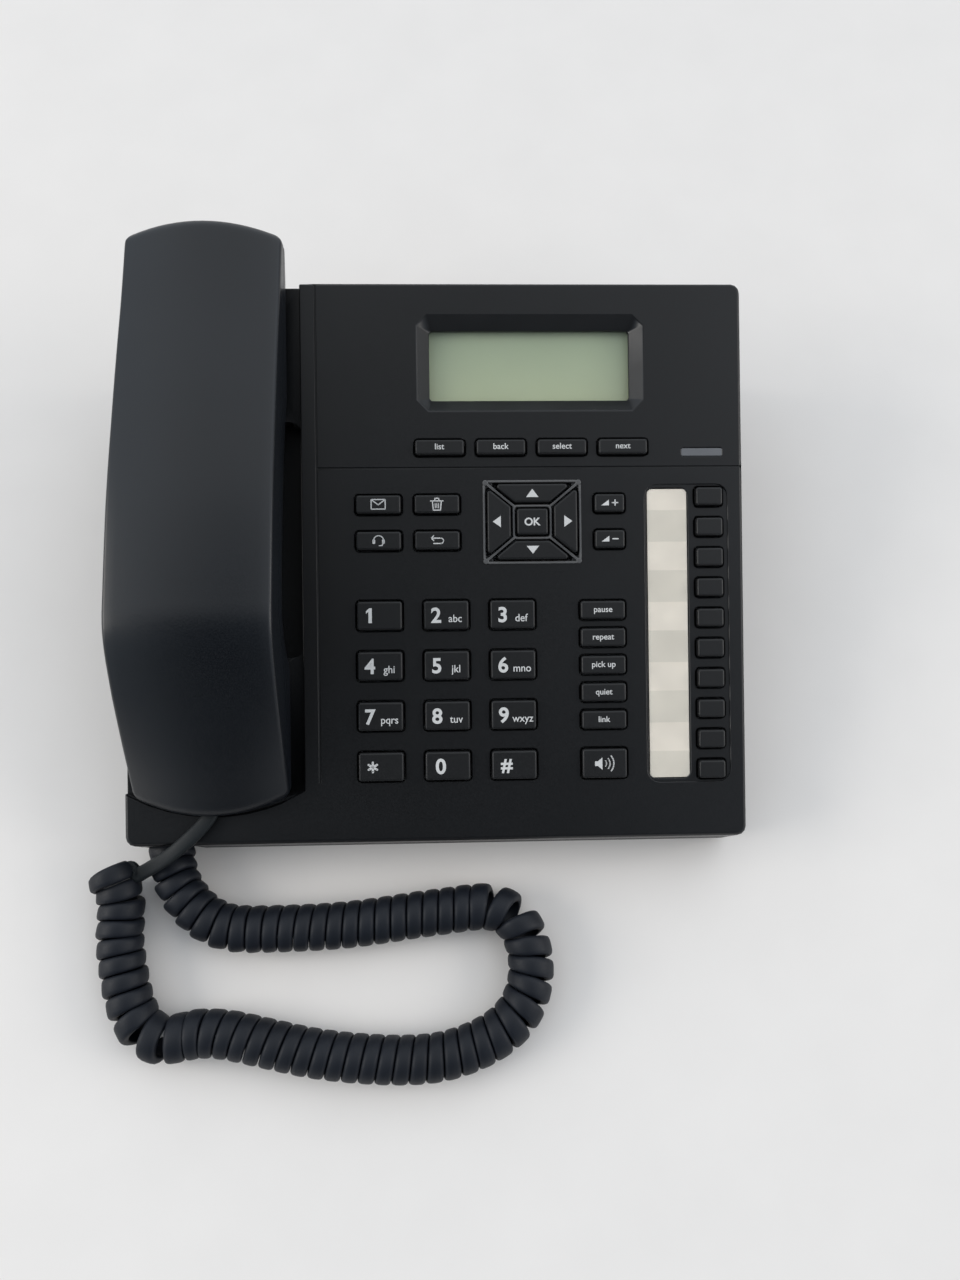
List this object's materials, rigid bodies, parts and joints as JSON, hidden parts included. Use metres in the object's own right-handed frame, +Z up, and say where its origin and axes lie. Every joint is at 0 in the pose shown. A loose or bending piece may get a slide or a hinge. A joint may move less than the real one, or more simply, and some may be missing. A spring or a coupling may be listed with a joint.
{
  "type": "desk telephone",
  "caption": "Wedge-shaped black office telephone with a corded handset in a side cradle, a display, an arrow-key cluster, dial and memory keys and a curly cord.",
  "frame": {"origin": "on the table, under the middle of the base and handset", "axes": "+X to the user's right, +Y to the rear, +Z up"},
  "size_m": [0.2262, 0.2785, 0.0838],
  "materials": {
    "housing": "fine matte texture",
    "handset": "satin",
    "keys": "satin",
    "window": "gloss",
    "module": "satin",
    "lamp": "gloss",
    "card": "matte",
    "board": "satin",
    "mat": "matte",
    "cord": "satin",
    "plug": "gloss",
    "capsule": "satin"
  },
  "bodies": {
    "base": {"upper_housing": "housing", "lower_housing": "housing", "display_window": "window", "lcd_module": "module", "message_lamp": "lamp", "label_card": "card", "circuit_board": "board", "key_mat": "mat", "curly_cord": "cord", "handset_lead": "cord", "base_plug": "plug"},
    "handset": {"handset_outer_shell": "handset", "handset_inner_shell": "handset", "receiver_capsule": "capsule", "microphone_capsule": "capsule", "handset_plug": "plug"},
    "hook": {"hook_switch": "keys"},
    "key_star_body": {"key_star": "keys"},
    "key_0_body": {"key_0": "keys"},
    "key_hash_body": {"key_hash": "keys"},
    "key_7_body": {"key_7": "keys"},
    "key_8_body": {"key_8": "keys"},
    "key_9_body": {"key_9": "keys"},
    "key_4_body": {"key_4": "keys"},
    "key_5_body": {"key_5": "keys"},
    "key_6_body": {"key_6": "keys"},
    "key_1_body": {"key_1": "keys"},
    "key_2_body": {"key_2": "keys"},
    "key_3_body": {"key_3": "keys"},
    "soft_key_1_body": {"soft_key_1": "keys"},
    "soft_key_2_body": {"soft_key_2": "keys"},
    "soft_key_3_body": {"soft_key_3": "keys"},
    "soft_key_4_body": {"soft_key_4": "keys"},
    "headset_key_body": {"headset_key": "keys"},
    "return_key_body": {"return_key": "keys"},
    "message_key_body": {"message_key": "keys"},
    "delete_key_body": {"delete_key": "keys"},
    "volume_down_key_body": {"volume_down_key": "keys"},
    "volume_up_key_body": {"volume_up_key": "keys"},
    "speaker_key_body": {"speaker_key": "keys"},
    "function_key_1_body": {"function_key_1": "keys"},
    "function_key_2_body": {"function_key_2": "keys"},
    "function_key_3_body": {"function_key_3": "keys"},
    "function_key_4_body": {"function_key_4": "keys"},
    "function_key_5_body": {"function_key_5": "keys"},
    "memory_key_1_body": {"memory_key_1": "keys"},
    "memory_key_2_body": {"memory_key_2": "keys"},
    "memory_key_3_body": {"memory_key_3": "keys"},
    "memory_key_4_body": {"memory_key_4": "keys"},
    "memory_key_5_body": {"memory_key_5": "keys"},
    "memory_key_6_body": {"memory_key_6": "keys"},
    "memory_key_7_body": {"memory_key_7": "keys"},
    "memory_key_8_body": {"memory_key_8": "keys"},
    "memory_key_9_body": {"memory_key_9": "keys"},
    "memory_key_10_body": {"memory_key_10": "keys"},
    "arrow_up_key_body": {"arrow_up_key": "keys"},
    "arrow_down_key_body": {"arrow_down_key": "keys"},
    "arrow_right_key_body": {"arrow_right_key": "keys"},
    "arrow_left_key_body": {"arrow_left_key": "keys"},
    "ok_key_body": {"ok_key": "keys"}
  },
  "joints": [
    {"name": "handset_lift", "type": "slide", "parent": "base", "child": "handset", "axis": [0, -0.2419, 0.9703], "range_m": [0, 0.06]},
    {"name": "hook_travel", "type": "slide", "parent": "base", "child": "hook", "axis": [0, -0.2419, 0.9703], "range_m": [0, 0.004]},
    {"name": "key_star_press", "type": "slide", "parent": "base", "child": "key_star_body", "axis": [0, 0.2419, -0.9703], "range_m": [0, 0.0012], "stiffness_N_per_m": 300},
    {"name": "key_0_press", "type": "slide", "parent": "base", "child": "key_0_body", "axis": [0, 0.2419, -0.9703], "range_m": [0, 0.0012], "stiffness_N_per_m": 300},
    {"name": "key_hash_press", "type": "slide", "parent": "base", "child": "key_hash_body", "axis": [0, 0.2419, -0.9703], "range_m": [0, 0.0012], "stiffness_N_per_m": 300},
    {"name": "key_7_press", "type": "slide", "parent": "base", "child": "key_7_body", "axis": [0, 0.2419, -0.9703], "range_m": [0, 0.0012], "stiffness_N_per_m": 300},
    {"name": "key_8_press", "type": "slide", "parent": "base", "child": "key_8_body", "axis": [0, 0.2419, -0.9703], "range_m": [0, 0.0012], "stiffness_N_per_m": 300},
    {"name": "key_9_press", "type": "slide", "parent": "base", "child": "key_9_body", "axis": [0, 0.2419, -0.9703], "range_m": [0, 0.0012], "stiffness_N_per_m": 300},
    {"name": "key_4_press", "type": "slide", "parent": "base", "child": "key_4_body", "axis": [0, 0.2419, -0.9703], "range_m": [0, 0.0012], "stiffness_N_per_m": 300},
    {"name": "key_5_press", "type": "slide", "parent": "base", "child": "key_5_body", "axis": [0, 0.2419, -0.9703], "range_m": [0, 0.0012], "stiffness_N_per_m": 300},
    {"name": "key_6_press", "type": "slide", "parent": "base", "child": "key_6_body", "axis": [0, 0.2419, -0.9703], "range_m": [0, 0.0012], "stiffness_N_per_m": 300},
    {"name": "key_1_press", "type": "slide", "parent": "base", "child": "key_1_body", "axis": [0, 0.2419, -0.9703], "range_m": [0, 0.0012], "stiffness_N_per_m": 300},
    {"name": "key_2_press", "type": "slide", "parent": "base", "child": "key_2_body", "axis": [0, 0.2419, -0.9703], "range_m": [0, 0.0012], "stiffness_N_per_m": 300},
    {"name": "key_3_press", "type": "slide", "parent": "base", "child": "key_3_body", "axis": [0, 0.2419, -0.9703], "range_m": [0, 0.0012], "stiffness_N_per_m": 300},
    {"name": "soft_key_1_press", "type": "slide", "parent": "base", "child": "soft_key_1_body", "axis": [0, 0.2419, -0.9703], "range_m": [0, 0.0012], "stiffness_N_per_m": 300},
    {"name": "soft_key_2_press", "type": "slide", "parent": "base", "child": "soft_key_2_body", "axis": [0, 0.2419, -0.9703], "range_m": [0, 0.0012], "stiffness_N_per_m": 300},
    {"name": "soft_key_3_press", "type": "slide", "parent": "base", "child": "soft_key_3_body", "axis": [0, 0.2419, -0.9703], "range_m": [0, 0.0012], "stiffness_N_per_m": 300},
    {"name": "soft_key_4_press", "type": "slide", "parent": "base", "child": "soft_key_4_body", "axis": [0, 0.2419, -0.9703], "range_m": [0, 0.0012], "stiffness_N_per_m": 300},
    {"name": "headset_key_press", "type": "slide", "parent": "base", "child": "headset_key_body", "axis": [0, 0.2419, -0.9703], "range_m": [0, 0.0012], "stiffness_N_per_m": 300},
    {"name": "return_key_press", "type": "slide", "parent": "base", "child": "return_key_body", "axis": [0, 0.2419, -0.9703], "range_m": [0, 0.0012], "stiffness_N_per_m": 300},
    {"name": "message_key_press", "type": "slide", "parent": "base", "child": "message_key_body", "axis": [0, 0.2419, -0.9703], "range_m": [0, 0.0012], "stiffness_N_per_m": 300},
    {"name": "delete_key_press", "type": "slide", "parent": "base", "child": "delete_key_body", "axis": [0, 0.2419, -0.9703], "range_m": [0, 0.0012], "stiffness_N_per_m": 300},
    {"name": "volume_down_key_press", "type": "slide", "parent": "base", "child": "volume_down_key_body", "axis": [0, 0.2419, -0.9703], "range_m": [0, 0.0012], "stiffness_N_per_m": 300},
    {"name": "volume_up_key_press", "type": "slide", "parent": "base", "child": "volume_up_key_body", "axis": [0, 0.2419, -0.9703], "range_m": [0, 0.0012], "stiffness_N_per_m": 300},
    {"name": "speaker_key_press", "type": "slide", "parent": "base", "child": "speaker_key_body", "axis": [0, 0.2419, -0.9703], "range_m": [0, 0.0012], "stiffness_N_per_m": 300},
    {"name": "function_key_1_press", "type": "slide", "parent": "base", "child": "function_key_1_body", "axis": [0, 0.2419, -0.9703], "range_m": [0, 0.0012], "stiffness_N_per_m": 300},
    {"name": "function_key_2_press", "type": "slide", "parent": "base", "child": "function_key_2_body", "axis": [0, 0.2419, -0.9703], "range_m": [0, 0.0012], "stiffness_N_per_m": 300},
    {"name": "function_key_3_press", "type": "slide", "parent": "base", "child": "function_key_3_body", "axis": [0, 0.2419, -0.9703], "range_m": [0, 0.0012], "stiffness_N_per_m": 300},
    {"name": "function_key_4_press", "type": "slide", "parent": "base", "child": "function_key_4_body", "axis": [0, 0.2419, -0.9703], "range_m": [0, 0.0012], "stiffness_N_per_m": 300},
    {"name": "function_key_5_press", "type": "slide", "parent": "base", "child": "function_key_5_body", "axis": [0, 0.2419, -0.9703], "range_m": [0, 0.0012], "stiffness_N_per_m": 300},
    {"name": "memory_key_1_press", "type": "slide", "parent": "base", "child": "memory_key_1_body", "axis": [0, 0.2419, -0.9703], "range_m": [0, 0.0012], "stiffness_N_per_m": 300},
    {"name": "memory_key_2_press", "type": "slide", "parent": "base", "child": "memory_key_2_body", "axis": [0, 0.2419, -0.9703], "range_m": [0, 0.0012], "stiffness_N_per_m": 300},
    {"name": "memory_key_3_press", "type": "slide", "parent": "base", "child": "memory_key_3_body", "axis": [0, 0.2419, -0.9703], "range_m": [0, 0.0012], "stiffness_N_per_m": 300},
    {"name": "memory_key_4_press", "type": "slide", "parent": "base", "child": "memory_key_4_body", "axis": [0, 0.2419, -0.9703], "range_m": [0, 0.0012], "stiffness_N_per_m": 300},
    {"name": "memory_key_5_press", "type": "slide", "parent": "base", "child": "memory_key_5_body", "axis": [0, 0.2419, -0.9703], "range_m": [0, 0.0012], "stiffness_N_per_m": 300},
    {"name": "memory_key_6_press", "type": "slide", "parent": "base", "child": "memory_key_6_body", "axis": [0, 0.2419, -0.9703], "range_m": [0, 0.0012], "stiffness_N_per_m": 300},
    {"name": "memory_key_7_press", "type": "slide", "parent": "base", "child": "memory_key_7_body", "axis": [0, 0.2419, -0.9703], "range_m": [0, 0.0012], "stiffness_N_per_m": 300},
    {"name": "memory_key_8_press", "type": "slide", "parent": "base", "child": "memory_key_8_body", "axis": [0, 0.2419, -0.9703], "range_m": [0, 0.0012], "stiffness_N_per_m": 300},
    {"name": "memory_key_9_press", "type": "slide", "parent": "base", "child": "memory_key_9_body", "axis": [0, 0.2419, -0.9703], "range_m": [0, 0.0012], "stiffness_N_per_m": 300},
    {"name": "memory_key_10_press", "type": "slide", "parent": "base", "child": "memory_key_10_body", "axis": [0, 0.2419, -0.9703], "range_m": [0, 0.0012], "stiffness_N_per_m": 300},
    {"name": "arrow_up_key_press", "type": "slide", "parent": "base", "child": "arrow_up_key_body", "axis": [0, 0.2419, -0.9703], "range_m": [0, 0.0012], "stiffness_N_per_m": 300},
    {"name": "arrow_down_key_press", "type": "slide", "parent": "base", "child": "arrow_down_key_body", "axis": [0, 0.2419, -0.9703], "range_m": [0, 0.0012], "stiffness_N_per_m": 300},
    {"name": "arrow_right_key_press", "type": "slide", "parent": "base", "child": "arrow_right_key_body", "axis": [0, 0.2419, -0.9703], "range_m": [0, 0.0012], "stiffness_N_per_m": 300},
    {"name": "arrow_left_key_press", "type": "slide", "parent": "base", "child": "arrow_left_key_body", "axis": [0, 0.2419, -0.9703], "range_m": [0, 0.0012], "stiffness_N_per_m": 300},
    {"name": "ok_key_press", "type": "slide", "parent": "base", "child": "ok_key_body", "axis": [0, 0.2419, -0.9703], "range_m": [0, 0.0012], "stiffness_N_per_m": 300}
  ],
  "couplings": [
    {"joint": "hook_travel", "follows": "handset_lift", "ratio": 0.0667}
  ]
}
